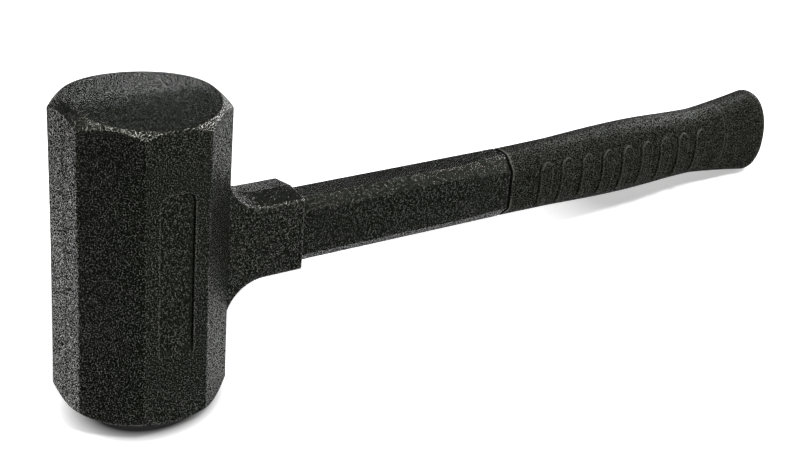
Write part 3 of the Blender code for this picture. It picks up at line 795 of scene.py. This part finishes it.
SHARP_DEGREES = 40           # bend from which an edge is shaded sharp
RIB_SHARP_DEGREES = 50
PIT = (0.0053, 0.0061, 0.0045)
RIDGE = (0.0068, 0.0077, 0.0058)
GRIP_PIT = (0.0024, 0.0024, 0.0020)
GRIP_RIDGE = (0.0460, 0.0482, 0.0385)
BUTT_RIDGE = (0.0510, 0.0534, 0.0426)
head_urethane = urethane(
    "head_urethane", PIT, RIDGE,
    grain=0.00058, depth=0.00042, roughness=0.23, shine=0.51, edge_shine_and_highlight=0.16,
)
panel_urethane = urethane(
    "panel_urethane", PIT, RIDGE,
    grain=0.00058, depth=0.00024, roughness=0.25, shine=0.49, edge_shine_and_highlight=0.10,
)
shaft_urethane = urethane(
    "shaft_urethane", PIT, RIDGE,
    grain=0.00056, depth=0.00034, roughness=0.20, shine=0.34, edge_shine_and_highlight=0.17,
)
# The grip's rounded start in the groove is darker and duller than the grip: painted shade in the seam
painted_seam_shade_urethane = urethane(
    "painted_seam_shade_urethane", GRIP_PIT, RIDGE,
    grain=0.00056, depth=0.00020, roughness=0.60, shine=0.05, edge_shine_and_highlight=0.0,
)
grip_urethane = urethane(
    "grip_urethane", GRIP_PIT, GRIP_RIDGE,
    grain=0.00056, depth=0.00035, roughness=0.55, shine=0.135, edge_shine_and_highlight=0.17,
)
butt_urethane = urethane(
    "butt_urethane", GRIP_PIT, BUTT_RIDGE,
    grain=0.00058, depth=0.00035, roughness=0.55, shine=0.055, edge_shine_and_highlight=0.12,
)

finish_piece(make_head(), "head_casing", head_urethane, SHARP_DEGREES, panel_urethane, on_panel)
finish_piece(make_shaft(), "shaft_sleeve", shaft_urethane, SHARP_DEGREES)
finish_piece(make_grip(), "grip_sleeve", grip_urethane, RIB_SHARP_DEGREES, painted_seam_shade_urethane, on_joint)
finish_piece(make_butt(), "butt_cap", butt_urethane, SHARP_DEGREES)

# Steel inside the mouldings: streaks along the tube, along the rod or without a direction

UPRIGHT = (2600.0, 2600.0, 40.0)
LENGTHWISE = (40.0, 2600.0, 2600.0)
EVEN = (900.0, 900.0, 900.0)
for node, colour, low, high, stretch in (
    ("canister_tube", (0.42, 0.42, 0.43), 0.30, 0.46, UPRIGHT),
    ("canister_cap_lower", (0.45, 0.45, 0.46), 0.28, 0.44, EVEN),
    ("canister_cap_upper", (0.45, 0.45, 0.46), 0.28, 0.44, EVEN),
    ("shot_charge", (0.50, 0.50, 0.52), 0.20, 0.36, EVEN),
    ("rod_socket", (0.36, 0.36, 0.37), 0.34, 0.52, EVEN),
    ("socket_pin", (0.52, 0.52, 0.53), 0.22, 0.36, EVEN),
    ("handle_rod", (0.40, 0.40, 0.41), 0.32, 0.50, LENGTHWISE),
    ("anchor_washer", (0.48, 0.48, 0.50), 0.26, 0.42, EVEN),
):
    nodes[node].material_slots[0].material = steel(node + "_steel", colour, low, high, stretch)


# Floor, light and camera

IMAGE_WIDTH = 800
FOCAL_PIXELS = 1497.0
SENSOR = 36.0
CAMERA_PLACE = Vector((-0.25310, -0.53205, 0.36067))
CAMERA_AIM = Vector((0.14295, 0.00721, 0.04799))
CAMERA_ROLL = math.radians(-1.811)
FLOOR_HALF = 3.0
FLOOR_GLOW = 0.92
FLOOR_TONE = 0.80
# Pools where the floor's glow is lowered, at the head's foot and under the grip, so that the lamps'
# shadow shows there while the higher glow elsewhere washes shadows out: centre, reach, share of the reach
# over which it fades in, and the glow that is left. The first also darkens the paper's colour, a painted
# contact shadow.
SHADE_POOLS = (
    ((-0.172, -0.0035, 0.0), (0.0395, 0.0395, 0.0395), 0.34, 0.018),
    ((0.162, 0.020, 0.0), (0.086, 0.050, 0.050), 0.40, 0.45),
)
WORLD_STRENGTH = 0.2
LIGHT_AIM = Vector((0.0, 0.0, 0.06))
CARD_PLACE = Vector((-0.29, 0.13, 0.004))


def add_floor():
    """A pale floor that reads as white to the eye and in reflections; it shows the lamps' shadow only in
    the pools, and has a painted contact shadow at the head's foot.
    """
    mesh = bpy.data.meshes.new("floor")
    build = bmesh.new()
    bmesh.ops.create_grid(build, x_segments=1, y_segments=1, size=FLOOR_HALF)
    build.to_mesh(mesh)
    build.free()
    floor = bpy.data.objects.new("floor", mesh)
    bpy.context.scene.collection.objects.link(floor)
    material, tree, shader = new_material("floor_paper")
    tree.nodes.remove(shader)
    paper = tree.nodes.new("ShaderNodeBsdfDiffuse")
    glow = tree.nodes.new("ShaderNodeEmission")
    place = tree.nodes.new("ShaderNodeTexCoord").outputs["Object"]
    link = tree.links.new
    strength = None
    for centre, reach, soft, dim in SHADE_POOLS:
        mapping = add_node(tree, "ShaderNodeMapping", Location=centre, Scale=reach)
        mapping.vector_type = "TEXTURE"
        pool = tree.nodes.new("ShaderNodeTexGradient")
        pool.gradient_type = "SPHERICAL"
        fade = add_node(tree, "ShaderNodeMapRange", From_Max=soft, To_Min=FLOOR_GLOW, To_Max=dim)
        link(place, mapping.inputs["Vector"])
        link(mapping.outputs["Vector"], pool.inputs["Vector"])
        link(pool.outputs["Fac"], fade.inputs["Value"])
        # The first pool paints a contact shadow: it darkens the paper's colour as well as its glow
        if strength is None:
            painted_contact_shadow = add_node(tree, "ShaderNodeMapRange", From_Max=soft, To_Min=FLOOR_TONE, To_Max=dim)
            link(pool.outputs["Fac"], painted_contact_shadow.inputs["Value"])
            link(painted_contact_shadow.outputs["Result"], paper.inputs["Color"])
        least = tree.nodes.new("ShaderNodeMath")
        least.operation = "MINIMUM"
        link(fade.outputs["Result"], least.inputs[0])
        link(strength or fade.outputs["Result"], least.inputs[1])
        strength = least.outputs["Value"]
    both = tree.nodes.new("ShaderNodeAddShader")
    choose = tree.nodes.new("ShaderNodeMixShader")
    path = tree.nodes.new("ShaderNodeLightPath")
    shown = path.outputs["Is Camera Ray"]
    for ray in ("Is Glossy Ray", "Is Transmission Ray"):
        either = tree.nodes.new("ShaderNodeMath")
        either.operation = "MAXIMUM"
        link(shown, either.inputs[0])
        link(path.outputs[ray], either.inputs[1])
        shown = either.outputs["Value"]
    link(strength, glow.inputs["Strength"])
    link(paper.outputs["BSDF"], both.inputs[0])
    link(glow.outputs["Emission"], both.inputs[1])
    link(shown, choose.inputs["Fac"])
    link(paper.outputs["BSDF"], choose.inputs[1])
    link(both.outputs["Shader"], choose.inputs[2])
    link(choose.outputs["Shader"], tree.nodes["Material Output"].inputs["Surface"])
    mesh.materials.append(material)


def add_world():
    world = bpy.data.worlds.new("studio")
    world.use_nodes = True
    backdrop = world.node_tree.nodes["Background"]
    backdrop.inputs["Color"].default_value = (1.0, 1.0, 1.0, 1.0)
    backdrop.inputs["Strength"].default_value = WORLD_STRENGTH
    bpy.context.scene.world = world


def add_light(name, place, aim, width, height, power, in_gloss=True):
    """A softbox that only shows in glossy surfaces or, where in_gloss is False, in all but those."""
    data = bpy.data.lights.new(name, "AREA")
    data.shape = "RECTANGLE"
    data.size = width
    data.size_y = height
    data.energy = power
    light = bpy.data.objects.new(name, data)
    light.visible_diffuse = not in_gloss
    light.visible_glossy = in_gloss
    light.visible_camera = False
    look = (aim - place).to_track_quat("-Z", "Y").to_matrix().to_4x4()
    light.matrix_world = Matrix.Translation(place) @ look
    bpy.context.scene.collection.objects.link(light)


def add_camera():
    data = bpy.data.cameras.new("camera")
    data.sensor_width = SENSOR
    data.lens = FOCAL_PIXELS * SENSOR / IMAGE_WIDTH
    camera = bpy.data.objects.new("camera", data)
    place = hammer @ CAMERA_PLACE
    aim = hammer @ CAMERA_AIM
    look = (aim - place).to_track_quat("-Z", "Y").to_matrix().to_4x4()
    camera.matrix_world = Matrix.Translation(place) @ look @ Matrix.Rotation(CAMERA_ROLL, 4, "Z")
    bpy.context.scene.collection.objects.link(camera)
    bpy.context.scene.camera = camera


add_floor()
add_world()
for name, place, width, height, power, in_gloss in (
    ("key_box", (0.92, -0.86, 1.20), 0.45, 0.25, 15.0, True),
    ("rim_box", (-0.3, -0.28, 1.45), 0.9, 0.30, 120.0, True),
    ("edge_box", (1.09, -1.45, 0.62), 0.3, 0.3, 21.0, True),
    ("floor_box", (0.2, -1.03, 1.42), 0.3, 0.3, 33.0, False),
    ("left_box", (-1.0, 1.1, 0.14), 0.4, 0.4, 9.4, True),
    ("right_box", (1.5, 0.5, 0.45), 0.5, 0.5, 64.0, True),
    ("back_box", (0.7, 1.6, 0.12), 0.4, 0.2, 1.25, True),
):
    add_light(name, Vector(place), LIGHT_AIM, width, height, power, in_gloss)
# A card that lies on the floor and faces up
add_light("left_card", CARD_PLACE, CARD_PLACE + Vector((0.0, 0.0, 1.0)), 0.26, 0.26, 0.32)
add_camera()
bpy.context.scene.view_settings.view_transform = "Standard"
